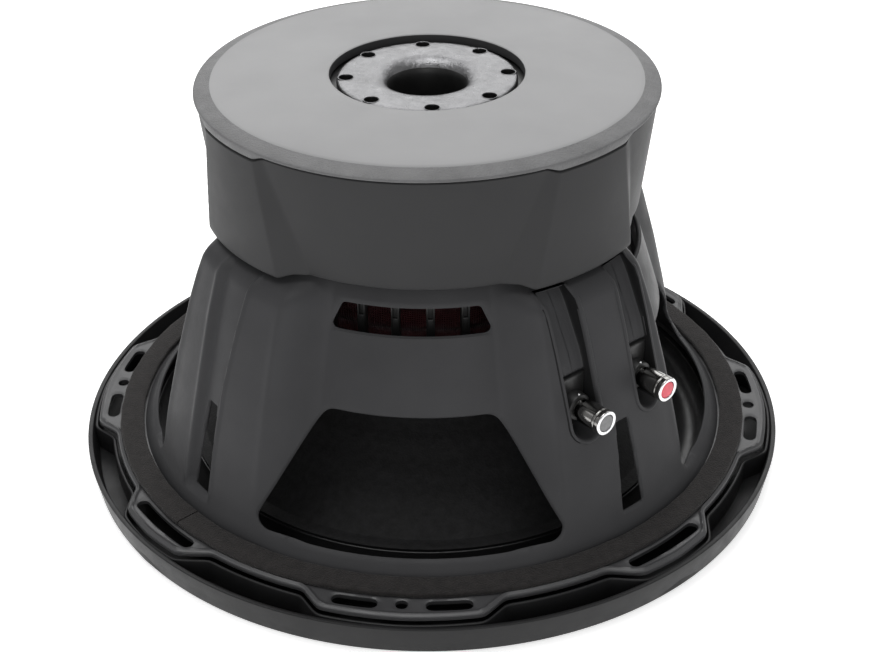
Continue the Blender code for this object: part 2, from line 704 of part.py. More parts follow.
def make_spring(name, angle, across):
    """A small coil between the post's shoulder and the button's end."""
    turns, points, radius, wire = 3, 6, 3 * MM, 0.25 * MM
    base = BUTTON_BASE + 1.6 * MM
    length = BUTTON_END - 2 * MM - 0.7 * MM - base
    curve = bpy.data.curves.new(name, "CURVE")
    curve.dimensions = "3D"
    curve.bevel_depth = wire
    curve.bevel_resolution = 1
    curve.use_fill_caps = True
    spline = curve.splines.new("POLY")
    count = turns * points + 1
    spline.points.add(count - 1)
    for k, point in enumerate(spline.points):
        turn = 2 * pi * k / points
        point.co = (radius * cos(turn), radius * sin(turn), length * k / (count - 1), 1)
    curve.materials.append(ZINC)
    obj = bpy.data.objects.new(name, curve)
    parts.objects.link(obj)
    place_outward(obj, angle, across, TERMINAL_HEIGHT, base)


def make_lead(label, pair, side):
    """A braided lead from the lug to the former, with slack for the cone's travel."""
    angle = LEG_ANGLE + QUARTER * pair
    across = TERMINAL_OFFSET * side
    route = [
        (across, 102.6, 88), (across, 100, 88.5), (across, 95, 86), (across * 0.95, 86, 80),
        (across * 0.85, 76, 76), (across * 0.75, 64, 76), (across * 0.62, 52, 80),
        (across * 0.5, 42, 84.5), (across * 0.42, 36.5, 86),
    ]
    frame = outward(angle)
    name = f"lead_{label}"
    curve = bpy.data.curves.new(name, "CURVE")
    curve.dimensions = "3D"
    curve.bevel_depth = 0.9 * MM
    curve.bevel_resolution = 1
    curve.use_fill_caps = True
    spline = curve.splines.new("POLY")
    spline.points.add(len(route) - 1)
    for point, (x, y, z) in zip(spline.points, route):
        point.co = (*(frame @ Vector((x, y * MM, z * MM))), 1)
    curve.materials.append(BRAID)
    obj = bpy.data.objects.new(name, curve)
    parts.objects.link(obj)


make_basket()
make_screws()
make_trim_ring()
make_rear_gasket()
make_surround()
make_cone()
make_dust_cap()
make_coil()
make_spider()
make_spider_standoff()
make_top_plate()
make_magnets()
make_yoke()
make_boot()
for terminal in TERMINALS:
    make_terminal(*terminal)
    make_lead(*terminal)
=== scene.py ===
"""Car subwoofer speaker: the looks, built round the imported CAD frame.

Lengths are in metres and angles in degrees unless a name says otherwise.
"""

from math import cos, pi, radians, sin

import bmesh
import bpy
import numpy as np
from mathutils import Matrix, Vector


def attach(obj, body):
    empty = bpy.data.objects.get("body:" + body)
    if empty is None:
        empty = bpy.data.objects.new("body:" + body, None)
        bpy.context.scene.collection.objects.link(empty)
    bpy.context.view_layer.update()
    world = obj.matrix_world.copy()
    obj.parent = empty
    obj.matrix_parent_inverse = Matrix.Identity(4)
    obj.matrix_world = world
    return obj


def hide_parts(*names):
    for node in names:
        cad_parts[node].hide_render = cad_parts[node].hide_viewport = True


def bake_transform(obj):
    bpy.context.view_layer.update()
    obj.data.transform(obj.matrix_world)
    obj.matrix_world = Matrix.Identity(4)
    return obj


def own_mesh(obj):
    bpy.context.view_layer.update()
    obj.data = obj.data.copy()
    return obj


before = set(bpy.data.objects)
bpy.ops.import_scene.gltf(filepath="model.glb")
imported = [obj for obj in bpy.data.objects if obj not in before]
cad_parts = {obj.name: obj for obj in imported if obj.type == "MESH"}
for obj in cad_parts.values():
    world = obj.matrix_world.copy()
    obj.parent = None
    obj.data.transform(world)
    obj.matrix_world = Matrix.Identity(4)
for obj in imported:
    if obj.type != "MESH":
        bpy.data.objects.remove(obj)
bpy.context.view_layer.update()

MM = 0.001
WINDOW = -95.0  # middle of the first window
LEG = WINDOW + 45.0
SHEET = 2.2 * MM
TERMINAL_ACROSS = 18 * MM  # from the leg's middle to each terminal
TERMINAL_HEIGHT = 75.2 * MM
# Name, quarter turns from LEG, and side of the leg. A plus terminal's side is -1.
TERMINALS = (("a_minus", 0, 1), ("a_plus", 0, -1), ("b_minus", 2, 1), ("b_plus", 2, -1))


# Materials

def nodes_of(name, colour, roughness, metallic=0.0, **sockets):
    """A Principled material. Extra sockets are given by name, with _ for a space."""
    mat = bpy.data.materials.new(name)
    mat.use_nodes = True
    tree = mat.node_tree
    shader = tree.nodes["Principled BSDF"]
    shader.inputs["Base Color"].default_value = (*colour, 1)
    shader.inputs["Roughness"].default_value = roughness
    shader.inputs["Metallic"].default_value = metallic
    for key, value in sockets.items():
        shader.inputs[key.replace("_", " ")].default_value = value
    coords = tree.nodes.new("ShaderNodeTexCoord").outputs["Object"]
    return mat, tree, shader, coords


def noise(tree, coords, scale, detail=4.0, roughness=0.55):
    node = tree.nodes.new("ShaderNodeTexNoise")
    node.inputs["Scale"].default_value = scale
    node.inputs["Detail"].default_value = detail
    node.inputs["Roughness"].default_value = roughness
    tree.links.new(coords, node.inputs["Vector"])
    return node.outputs["Fac"]


def ranged(tree, value, low, high, from_low=0.3, from_high=0.7):
    node = tree.nodes.new("ShaderNodeMapRange")
    for key, number in (("From Min", from_low), ("From Max", from_high), ("To Min", low), ("To Max", high)):
        node.inputs[key].default_value = number
    tree.links.new(value, node.inputs["Value"])
    return node.outputs["Result"]


def mixed(tree, factor, dark, light):
    node = tree.nodes.new("ShaderNodeMix")
    node.data_type = "RGBA"
    node.inputs["A"].default_value = (*dark, 1)
    node.inputs["B"].default_value = (*light, 1)
    tree.links.new(factor, node.inputs["Factor"])
    return node.outputs["Result"]


def bumped(tree, shader, height, distance, after=None):
    node = tree.nodes.new("ShaderNodeBump")
    node.inputs["Distance"].default_value = distance
    tree.links.new(height, node.inputs["Height"])
    if after:
        tree.links.new(after, node.inputs["Normal"])
    tree.links.new(node.outputs["Normal"], shader.inputs["Normal"])
    return node.outputs["Normal"]


def scaled(colour, factor):
    return tuple(min(c * factor, 1) for c in colour)


def surface(name, colour, roughness, metallic=0.0, vary=0.2, spread=35, rough_vary=0.08,
            grain=1500, grain_depth=0.00004, pits=0.0, **sockets):
    """Mottled colour and roughness, a fine grain, and optionally larger shallow dents."""
    mat, tree, shader, coords = nodes_of(name, colour, roughness, metallic, **sockets)
    cloudy = noise(tree, coords, spread, 5)
    factor = ranged(tree, cloudy, 0, 1)
    tree.links.new(mixed(tree, factor, scaled(colour, 1 - vary), scaled(colour, 1 + vary)),
                   shader.inputs["Base Color"])
    worn = noise(tree, coords, spread * 3.1, 6, 0.65)
    tree.links.new(ranged(tree, worn, roughness - rough_vary, roughness + rough_vary),
                   shader.inputs["Roughness"])
    after = None
    if pits:
        after = bumped(tree, shader, noise(tree, coords, grain / 6, 2), pits)
    bumped(tree, shader, noise(tree, coords, grain, 3), grain_depth, after=after)
    return mat


PAINT = surface("black_paint", (0.046, 0.046, 0.048), 0.45, vary=0.10, spread=22,
                grain=2600, grain_depth=0.00002, pits=0.00005, Specular_IOR_Level=0.1)
# A darker copy of the paint, for painted shade on the pockets' side walls.
PAINTED_SHADE_PAINT = surface("black_paint_shaded", (0.013, 0.013, 0.0135), 0.55, vary=0.2, spread=40,
                     grain=2600, grain_depth=0.00002, Specular_IOR_Level=0.1)
FLANGE_PAINT = surface("black_paint_flange", (0.045, 0.045, 0.047), 0.40, vary=0.12, spread=22,
                       grain=2600, grain_depth=0.00002, pits=0.00005)
TRIM = surface("trim_plastic", (0.012, 0.012, 0.0125), 0.42, vary=0.12, grain=3000, grain_depth=0.00003,
               Specular_IOR_Level=0.25)
BOOT = surface("boot_rubber", (0.039, 0.039, 0.040), 0.5, vary=0.08, spread=14, rough_vary=0.05,
               grain=2200, grain_depth=0.00002, Specular_IOR_Level=0.12)
# The boot's band and crown are lighter copies of its rubber: painted sheen from the light above. The band's
# coarse grain is real.
BOOT_GRAIN_AND_SHEEN = surface("boot_rubber_grained_and_painted_sheen", (0.125, 0.125, 0.127), 0.55, vary=0.14, spread=60,
                     rough_vary=0.08, grain=1300, grain_depth=0.0003)
BOOT_PAINTED_SHEEN = surface("boot_rubber_crown_painted_sheen", (0.205, 0.205, 0.208), 0.42, vary=0.06, spread=9, rough_vary=0.04,
                     grain=2400, grain_depth=0.00002)
FELT = surface("felt", (0.016, 0.014, 0.0135), 0.9, vary=0.35, spread=260, grain=1400, grain_depth=0.0006,
               Sheen_Weight=0.12, Sheen_Roughness=0.5, Specular_IOR_Level=0.3)
# A near-black copy of the steel, for painted shade on the yoke's back plate round the boss and in its vent.
STEEL_PAINTED_SHADE = surface("steel_painted_shade", (0.012, 0.012, 0.012), 0.4, vary=0.2, spread=120, grain=1800,
                    grain_depth=0.00005)
ZINC = surface("zinc_steel", (0.20, 0.20, 0.205), 0.34, 1.0, vary=0.12, spread=90, rough_vary=0.1,
               grain=1500, grain_depth=0.00016, pits=0.0004)
FERRITE = surface("ferrite", (0.045, 0.045, 0.05), 0.55, vary=0.3, spread=120, grain=1800, grain_depth=0.0002)
BLACK_PLASTIC = surface("black_plastic", (0.018, 0.018, 0.018), 0.38, vary=0.15, grain=3200,
                        grain_depth=0.00003)
CONE_PAPER = surface("cone_paper", (0.010, 0.010, 0.0105), 0.7, vary=0.35, spread=300, grain=900,
                     grain_depth=0.0002, Specular_IOR_Level=0.25)
SURROUND_RUBBER = surface("surround_rubber", (0.010, 0.010, 0.0105), 0.35, vary=0.15, spread=60, grain=2500,
                          grain_depth=0.00005)
CAP_PLASTIC = surface("cap_plastic", (0.022, 0.022, 0.023), 0.32, vary=0.15, grain=3000, grain_depth=0.00003)
CHROME = surface("chrome", (0.78, 0.78, 0.79), 0.10, 1.0, vary=0.06, spread=300, rough_vary=0.05,
                 grain=2500, grain_depth=0.000008)
DARK_CHROME = surface("dark_chrome", (0.30, 0.295, 0.285), 0.13, 1.0, vary=0.1, spread=300, rough_vary=0.05,
                      grain=2500, grain_depth=0.000008)
TIN = surface("tin_plate", (0.66, 0.65, 0.62), 0.34, 1.0, vary=0.15, spread=400, grain=2500,
              grain_depth=0.00002)
SPRING = surface("spring_steel", (0.5, 0.5, 0.52), 0.25, 1.0, vary=0.1, spread=600)
RED = surface("red_plastic", (0.74, 0.075, 0.11), 0.35, vary=0.12, spread=500, grain=3200,
              grain_depth=0.00003)
GREY = surface("grey_plastic", (0.19, 0.19, 0.192), 0.4, vary=0.15, spread=500, grain=3200,
               grain_depth=0.00003)
FOIL = surface("former_foil", (0.62, 0.62, 0.60), 0.3, 1.0, vary=0.12, spread=150, grain=2000,
               grain_depth=0.00003)


def wave(tree, coords, scale, distortion, direction="Z"):
    node = tree.nodes.new("ShaderNodeTexWave")
    node.wave_type = "BANDS"
    node.bands_direction = direction
    node.inputs["Scale"].default_value = scale
    node.inputs["Distortion"].default_value = distortion
    node.inputs["Detail"].default_value = 1
    tree.links.new(coords, node.inputs["Vector"])
    return node.outputs["Fac"]


def cloth_material():
    """Plain weave, dipped in resin."""
    colour = (0.10, 0.009, 0.013)
    mat, tree, shader, coords = nodes_of("spider_cloth", colour, 0.75, Sheen_Weight=0.25)
    warp = wave(tree, coords, 420, 0.3, "X")
    weft = wave(tree, coords, 420, 0.3, "Y")
    both = tree.nodes.new("ShaderNodeMath")
    both.operation = "MAXIMUM"
    tree.links.new(warp, both.inputs[0])
    tree.links.new(weft, both.inputs[1])
    woven = ranged(tree, both.outputs[0], 0, 1, 0, 1)
    shaded = mixed(tree, woven, scaled(colour, 0.35), scaled(colour, 1.15))
    tree.links.new(shaded, shader.inputs["Base Color"])
    patchy = noise(tree, coords, 70)
    tree.links.new(ranged(tree, patchy, 0.6, 0.85), shader.inputs["Roughness"])
    bumped(tree, shader, woven, 0.00025)
    return mat


def wound_material(name, colour, roughness, pitch):
    """Turns of wire, or a braid's rows, stacked along Z."""
    mat, tree, shader, coords = nodes_of(name, colour, roughness, 1.0)
    # A wave texture of scale s repeats s * 20 / (2 * pi) times in one unit.
    turns = wave(tree, coords, 2 * pi / 20 / pitch, 0.1)
    tree.links.new(mixed(tree, turns, scaled(colour, 0.3), colour), shader.inputs["Base Color"])
    tree.links.new(ranged(tree, noise(tree, coords, 200), roughness - 0.1, roughness + 0.1),
                   shader.inputs["Roughness"])
    bumped(tree, shader, turns, pitch / 2)
    return mat


CLOTH = cloth_material()
COPPER = wound_material("copper_wire", (0.78, 0.33, 0.15), 0.3, 0.5 * MM)
BRAID = wound_material("tinsel_braid", (0.72, 0.55, 0.38), 0.4, 0.6 * MM)


# Mesh helpers

def polar(radius, angle, height=0.0):
    """Points from radii, angles in degrees and heights, which may be arrays."""
    turn = np.radians(angle)
    return np.stack(np.broadcast_arrays(radius * np.cos(turn), radius * np.sin(turn), height), -1)


SHARP = 38  # degrees between faces, above which an edge isn't smoothed


def mesh_object(name, points, faces, mat, sharp=SHARP):
    mesh = bpy.data.meshes.new(name)
    mesh.from_pydata(np.asarray(points).tolist(), [], [list(map(int, f)) for f in faces])
    bm = bmesh.new()
    bm.from_mesh(mesh)
    bmesh.ops.remove_doubles(bm, verts=bm.verts, dist=1e-7)
    bmesh.ops.delete(bm, geom=[v for v in bm.verts if not v.link_faces], context="VERTS")
    bmesh.ops.recalc_face_normals(bm, faces=bm.faces)
    bm.to_mesh(mesh)
    bm.free()
    mesh.shade_smooth()
    mesh.set_sharp_from_angle(angle=radians(sharp))
    for one in mat if isinstance(mat, (list, tuple)) else [mat]:
        mesh.materials.append(one)
    obj = bpy.data.objects.new(name, mesh)
    bpy.context.scene.collection.objects.link(obj)
    return obj


def ring_faces(rows, count, closed_rows=False):
    """Quads between closed rows of points. closed_rows joins the last row to the first."""
    faces = []
    for i in range(rows if closed_rows else rows - 1):
        a, b = i * count, (i + 1) % rows * count
        for j in range(count):
            k = (j + 1) % count
            faces.append((a + j, a + k, b + k, b + j))
    return faces


def loft(name, rings, mat, closed=False, caps=False, sharp=SHARP):
    """A skin over rings of points. closed joins the last ring to the first, and caps fills both."""
    count = len(rings[0])
    faces = ring_faces(len(rings), count, closed)
    if caps:
        faces += [tuple(range(count)), tuple(range((len(rings) - 1) * count, len(rings) * count))]
    return mesh_object(name, np.concatenate(rings), faces, mat, sharp)


def rounded(profile, radius, steps=3):
    """Rounds the corners of a closed line of (x, y) points. radius is one number, or one for each point."""
    points = [Vector(p) for p in profile]
    count = len(points)
    radii = radius if isinstance(radius, (list, tuple)) else [radius] * count
    out = []
    for i, here in enumerate(points):
        back, ahead = points[i - 1] - here, points[(i + 1) % count] - here
        reach = min(radii[i], 0.48 * back.length, 0.48 * ahead.length)
        if reach <= 0 or abs(back.angle(ahead) - pi) < 0.05:
            out.append(tuple(here))
            continue
        start, end = here + back.normalized() * reach, here + ahead.normalized() * reach
        for k in range(steps + 1):
            t = k / steps
            out.append(tuple(start * (1 - t) ** 2 + here * 2 * t * (1 - t) + end * t * t))
    return out


def turned(name, profile, mat, steps=144, rounding=0.4 * MM):
    """A closed profile of (radius, height) points turned about Z."""
    line = rounded(profile, [0 if p[0] == 0 else rounding for p in profile])
    angles = np.arange(steps) * 360 / steps
    return loft(name, [polar(r, angles, z) for r, z in line], mat, closed=True)


def tube(name, inner, outer, low, high, mat, steps, rounding):
    return turned(name, [(outer, low), (outer, high), (inner, high), (inner, low)], mat, steps, rounding)


def outward(angle):
    """A frame whose local Y runs outward at this angle, X along the rim and Z up."""
    return Matrix.Rotation(radians(angle) - pi / 2, 4, "Z")


def along_axis(angle, across, height, distance):
    """A frame whose local Z runs outward at this angle."""
    return outward(angle) @ Matrix.Translation((across, distance, height)) @ Matrix.Rotation(-pi / 2, 4, "X")


def placed(obj, matrix):
    obj.data.transform(matrix)
    return obj


def in_frame(matrix, points):
    """Moves an array of points by a matrix."""
    m = np.array(matrix)
    return np.asarray(points) @ m[:3, :3].T + m[:3, 3]


def joined(name, objects):
    """One object from several whose materials are the same."""
    bm = bmesh.new()
    for obj in objects:
        bm.from_mesh(obj.data)
    mesh = bpy.data.meshes.new(name)
    bm.to_mesh(mesh)
    bm.free()
    for mat in objects[0].data.materials:
        mesh.materials.append(mat)
    for obj in objects:
        bpy.data.objects.remove(obj)
    obj = bpy.data.objects.new(name, mesh)
    bpy.context.scene.collection.objects.link(obj)
    return obj


def stands_for(obj, body, slot, *nodes):
    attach(obj, body)
    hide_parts(*nodes)
    return obj


def nearest_on(points, outline):
    """For each flat point: the nearest point of a closed outline, how far it is, and if it lies inside."""
    a = np.asarray(outline)
    d = np.roll(a, -1, 0) - a
    t = ((points[:, None] - a) * d).sum(-1) / np.maximum((d * d).sum(-1), 1e-18)
    spots = a + np.clip(t, 0, 1)[..., None] * d
    gaps = np.linalg.norm(points[:, None] - spots, axis=-1)
    best = gaps.argmin(1)
    x, y = points[:, 0, None], points[:, 1, None]
    ys, ye = a[:, 1], a[:, 1] + d[:, 1]
    with np.errstate(divide="ignore", invalid="ignore"):
        crossing = ((ys > y) != (ye > y)) & (x < a[:, 0] + (y - ys) / (ye - ys) * d[:, 0])
    rows = np.arange(len(points))
    return spots[rows, best], gaps[rows, best], crossing.sum(1) % 2 == 1


class Sheet:
    """A grid of flat points that holes are punched in, with its edge points set on the holes' outlines."""

    def __init__(self, flat, faces):
        self.flat, self.faces = flat.copy(), np.array(faces)
        self.edge = np.full(len(flat), 1.0)  # distance to the nearest hole

    def punch(self, outline, chosen=None):
        outline = np.asarray(outline)
        margin = 4 * MM
        low, high = outline.min(0) - margin, outline.max(0) + margin
        near = ((self.flat > low) & (self.flat < high)).all(1)
        if chosen is not None:
            near &= chosen
        index = np.flatnonzero(near)
        if not len(index):
            return
        inside = np.zeros(len(self.flat), bool)
        spots, gaps, within = nearest_on(self.flat[index], outline)
        inside[index] = within
        centres = self.flat[self.faces].mean(1)
        close = near[self.faces].all(1)
        gone = np.zeros(len(self.faces), bool)
        gone[close] = nearest_on(centres[close], outline)[2]
        kept, lost = self.faces[~gone], self.faces[gone]
        border = np.intersect1d(kept.ravel(), lost.ravel())
        where = np.searchsorted(index, border)
        self.flat[border] = spots[where]
        self.faces = kept
        outside = index[~within]
        self.edge[outside] = np.minimum(self.edge[outside], gaps[~within])
        self.edge[border] = 0


def normals_of(points, faces):
    """Each point's normal, from the quads round it."""
    normals = np.zeros_like(points)
    for k in range(4):
        a, b, c = points[faces[:, k]], points[faces[:, (k + 1) % 4]], points[faces[:, k - 1]]
        np.add.at(normals, faces[:, k], np.cross(b - a, c - a))
    return normals / np.maximum(np.linalg.norm(normals, axis=1, keepdims=True), 1e-12)


def thickened(name, outer, normals, faces, thickness, edge, mat, round_by):
    """A closed sheet from its outer surface. Points near a hole's edge are rounded off."""
    near = np.clip(1 - edge / round_by, 0, 1)[:, None]
    drop = round_by * (1 - np.sqrt(np.clip(1 - near**2, 0, 1))) * 0.8
    front = outer - normals * drop
    back = outer - normals * (thickness - drop)
    count = len(outer)
    pairs = np.concatenate([faces[:, [k, (k + 1) % 4]] for k in range(4)])
    keys = {tuple(p) for p in pairs.tolist()}
    rim = [(a, b) for a, b in keys if (b, a) not in keys]
    all_faces = faces.tolist() + (faces[:, ::-1] + count).tolist()
    all_faces += [(b, a, a + count, b + count) for a, b in rim]
    return mesh_object(name, np.concatenate([front, back]), all_faces, mat)


def smoothstep(value, low, high):
    t = np.clip((value - low) / (high - low), 0, 1)
    return t * t * (3 - 2 * t)


def soft_line(points, width=2.0):
    """A line through (value, result) points in millimetres with its corners eased, read in metres."""
    at = np.arange(points[0][0], points[-1][0] + 0.01, 0.25)
    line = np.interp(at, *zip(*points))
    half = int(width / 0.25)
    for _ in range(2):
        padded = np.concatenate([2 * line[0] - line[half:0:-1], line, 2 * line[-1] - line[-2:-half - 2:-1]])
        line = np.convolve(padded, np.ones(2 * half + 1) / (2 * half + 1), "valid")
    return lambda value: np.interp(value, at * MM, line * MM)


# Basket wall

LEG_LINE = soft_line([(16, 135.3), (19, 134), (24, 132.2), (50, 126), (75, 119.3), (100, 111.5), (117, 105.2),
                      (120, 102.3), (122, 98), (123.5, 94), (126, 90), (129, 86)], 1.0)
PANEL_LINE = soft_line([(16, 135.3), (19, 133), (22.6, 129.5), (27, 125), (36, 118.5), (47, 113.4), (117, 91),
                        (122, 88.5), (125, 86.5), (129, 84)], 1.5)
POCKET_LINE = soft_line([(54, 107), (87.8, 107), (89.2, 110), (97, 107.4), (117, 97), (127, 89)], 0.5)


def from_window(angle):
    return (angle - WINDOW + 45) % 90 - 45


def leg_of(angle):
    """Which of the four legs is nearest, and the angle from its middle."""
    number = np.round((angle - LEG) / 90)
    return number % 4, angle - LEG - 90 * number


def wall_radius(angle, height):
    side = np.abs(from_window(angle))
    panel, leg = PANEL_LINE(height), LEG_LINE(height)
    radius = panel + (leg - panel) * smoothstep(side, 20, 30)
    # A soft crease beside each window, and a soft ridge along each leg's edge.
    level = smoothstep(height, 30 * MM, 45 * MM) * (1 - smoothstep(height, 108 * MM, 118 * MM))
    radius = radius + 0.5 * MM * level * np.exp(-((side - 29.5) / 1.3) ** 2)
    number, off = leg_of(angle)
    across = radius * np.sin(np.radians(off))
    plain = (number % 2 == 1) & (np.abs(off) < 20)
    half = np.interp(height, [25 * MM, 45 * MM, 75 * MM, 117 * MM], [6.6 * MM, 5.8 * MM, 6.0 * MM, 8.2 * MM])
    run = plain * smoothstep(height, 22 * MM, 27 * MM) * (1 - smoothstep(height, 121 * MM, 127 * MM))
    # A plain leg's channel: a soft bead and slope on one side, a fine ridge on the other.
    soft_side = smoothstep(across, -half - 3.0 * MM, -half + 0.4 * MM)
    inside = soft_side * (1 - smoothstep(across, half, half + 1.4 * MM))
    depth = np.interp(across / half, [-1, 1], [2.6 * MM, 1.3 * MM])
    bead = 0.6 * MM * np.exp(-((across + half + 3.6 * MM) / (1.6 * MM)) ** 2)
    ridge = 0.6 * MM * np.exp(-((across - half - 1.9 * MM) / (1.0 * MM)) ** 2)
    return radius + run * (bead + ridge - depth * inside)


def stadium(middle, half_width, foot, top):
    """An upright channel's outline, across and up, with a round foot."""
    steps = 10
    turn = pi + np.arange(steps + 1) * pi / steps
    arc = np.stack([middle + half_width * np.cos(turn), foot + half_width + half_width * np.sin(turn)], -1)
    right = np.linspace(foot + half_width, top, 14)[1:]
    rise = np.stack([np.full(len(right), middle + half_width), right], -1)
    fall = np.stack([np.full(len(right), middle - half_width), right[::-1]], -1)
    return np.concatenate([arc, rise, fall])


def corner_outline(corners, steps=6):
    """Rounds (x, y, radius) corners in millimetres with arcs, and returns metres."""
    points = [Vector(c[:2]) for c in corners]
    out = []
    for i, here in enumerate(points):
        back, ahead = (points[i - 1] - here).normalized(), (points[(i + 1) % len(points)] - here).normalized()
        half = back.angle(ahead) / 2
        radius = corners[i][2]
        centre = here + (back + ahead).normalized() * radius / sin(half)
        start = here + back * radius * cos(half) / sin(half) - centre
        turn = back.angle_signed(ahead)
        sweep = (pi - abs(turn)) * (1 if turn > 0 else -1)
        for k in range(steps + 1):
            swung = start.copy()
            swung.rotate(Matrix.Rotation(sweep * k / steps, 2))
            out.append(tuple((centre + swung) * MM))
    return out


WINDOW_OUTLINE = corner_outline([(-34.4, 74.2, 7), (34.4, 74.2, 7), (67.4, 24.4, 5), (42, 22.4, 40),
                                 (-42, 22.4, 40), (-67.4, 24.4, 5)])
VENT_OUTLINE = corner_outline([(-27.8, 117.4, 2), (27.8, 117.4, 2), (33.3, 106.5, 2), (-33.3, 106.5, 2)])
SLIT_OUTLINE = corner_outline([(-3.4, 64.5, 0.6), (3.4, 64.5, 0.6), (6.0, 25.5, 0.8), (-6.0, 25.5, 0.8)], 3)
POCKET_HALF, POCKET_FOOT, POCKET_TOP = 6.9 * MM, 63 * MM, 122.5 * MM


def make_wall():
    fine = np.arange(20, 45, 0.3)
    sides = np.concatenate([-fine[::-1], np.linspace(-20, 20, 47)[1:-1], fine])
    angles = np.sort(np.concatenate([WINDOW + 90 * k + sides for k in range(4)]))
    heights = np.concatenate([np.linspace(16, 126, 104), np.linspace(126, 129, 7)[1:]]) * MM
    angle, height = np.meshgrid(angles, heights)
    count = len(angles)
    angle, height = angle.ravel(), height.ravel()
    grid = np.array(ring_faces(len(heights), count))
    side = from_window(angle)
    by_window = np.abs(side) < 37.5
    number, off = leg_of(angle)
    local = np.where(by_window, side, off)
    middle = angle - local
    flat = np.stack([wall_radius(angle, height) * np.sin(np.radians(local)), height], -1)
    sheet = Sheet(flat, grid)
    sheet.punch(WINDOW_OUTLINE, by_window)
    sheet.punch(VENT_OUTLINE, by_window)
    sheet.punch(SLIT_OUTLINE, ~by_window)
    flat = sheet.flat
    # Pocket outlines lie partly beyond the leg's own half, so they are punched across from the leg's middle.
    across = wall_radius(angle, height) * np.sin(np.radians(off))
    legs = Sheet(np.stack([across, height], -1), sheet.faces)
    paired = (number % 2 == 0) & (np.abs(off) < 20)
    for way in (-1, 1):
        opening = stadium(TERMINAL_ACROSS * way, POCKET_HALF + 0.2 * MM, POCKET_FOOT - 0.2 * MM, POCKET_TOP)
        legs.punch(opening, paired)
    moved = np.abs(legs.flat - np.stack([across, height], -1)).max(1) > 1e-9
    # Back from flat places to angles.
    middle = np.where(moved, angle - off, middle)
    flat = np.where(moved[:, None], legs.flat, flat)
    turn = np.where(moved, off, local)
    for _ in range(6):
        radius = wall_radius(middle + turn, flat[:, 1])
        turn = np.degrees(np.arcsin(np.clip(flat[:, 0] / radius, -1, 1)))
    outer = polar(wall_radius(middle + turn, flat[:, 1]), middle + turn, flat[:, 1])
    edge = np.minimum(sheet.edge, legs.edge)
    # The flat seat runs inward from the wall's top row to the coil's hole.
    top = (len(heights) - 1) * count
    rows = [outer[top:top + count] * [1 - k, 1 - k, 1] + polar(45 * MM, angles) * [k, k, 0]
            for k in (0.04, 0.2, 0.5, 0.8, 1)]
    base = len(outer)
    # Normals come from the whole wall, since a hole's edge leaves slivers with none of their own.
    whole = np.concatenate([polar(wall_radius(angle, height), angle, height)] + rows)
    outer = np.concatenate([outer] + rows)
    edge = np.concatenate([edge, np.ones(count * len(rows))])
    edge[-count:] = 0
    ids = [top + np.arange(count)] + [base + count * i + np.arange(count) for i in range(len(rows))]
    seat = [np.stack([a, np.roll(a, -1), np.roll(b, -1), b], -1) for a, b in zip(ids, ids[1:])]
    normals = normals_of(whole, np.concatenate([grid] + seat))
    faces = np.concatenate([legs.faces] + seat)
    return thickened("basket_wall", outer, normals, faces, SHEET, edge, PAINT, 1.0 * MM)


def make_pocket(angle, way):
    """A pressed pocket with a raised lip, open at its top under the boot."""
    middle = TERMINAL_ACROSS * way
    matrix = outward(angle)

    def ring(offset, depth, to_floor=0.0):
        """The outline grown by offset, at a depth under the leg's face, or part of the way to the floor."""
        line = stadium(middle, POCKET_HALF + offset, POCKET_FOOT - offset, POCKET_TOP)
        off = np.degrees(np.arcsin(line[:, 0] / wall_radius(LEG, line[:, 1])))
        face = LEG_LINE(line[:, 1]) * np.cos(np.radians(off))
        floor = POCKET_LINE(line[:, 1])
        distance = (face - depth) * (1 - to_floor) + (floor - depth) * to_floor
        return in_frame(matrix, np.stack([line[:, 0], distance, line[:, 1]], -1))

    lip = ((2.0, 0.6), (1.9, -0.1), (1.5, -0.55), (0.9, -0.7), (0.3, -0.45), (0, 0.3), (-0.1, 1.2))
    well = ((-0.35, -1), (-0.8, -0.25), (-1.6, 0), (-4, 0), (-7.1, 0), (-7.1, 1.6), (0.6, 1.6), (1.3, 0.8))
    rings = [ring(offset * MM, depth * MM) for offset, depth in lip]
    rings += [ring(offset * MM, depth * MM, 1) for offset, depth in well]
    rings.append(ring(1.5 * MM, 1.5 * MM))
    pocket = loft("pocket", rings, [PAINT, PAINTED_SHADE_PAINT], closed=True, sharp=50)
    # The side walls get a darker copy of the paint: painted shade.
    for face in pocket.data.polygons:
        local = matrix.inverted() @ face.center
        if local.y < LEG_LINE(local.z) - 1.5 * MM and abs((matrix.inverted().to_3x3() @ face.normal).x) > 0.6:
            face.material_index = 1
    return pocket


# Flange

def tab_radius(angle, offset=0.0):
    side = np.abs(from_window(angle))
    line = [(0, 157.5), (12.3, 156.8), (16, 148.5), (33.5, 148.5), (38, 157.6), (45, 158.4)]
    return np.interp(side, *zip(*line)) * MM + offset


def eased_tab_radius(angle, offset=0.0):
    """The outline with its corners eased over about two degrees."""
    shifts = np.linspace(-1.0, 1.0, 9)
    weights = np.array([1, 2, 3, 4, 5, 4, 3, 2, 1]) / 25
    return sum(w * tab_radius(angle + s, offset) for s, w in zip(shifts, weights))


def slot_outline(radius, low, high, half_width):
    ahead = np.linspace(low, high, 9)
    cap = np.linspace(0, 180, 7)[1:-1]
    end = polar(radius, high) + polar(half_width, high + cap)
    start = polar(radius, low) + polar(half_width, low + 180 + cap)
    line = [polar(radius + half_width, ahead), end, polar(radius - half_width, ahead[::-1]), start]
    return np.concatenate(line)[:, :2]


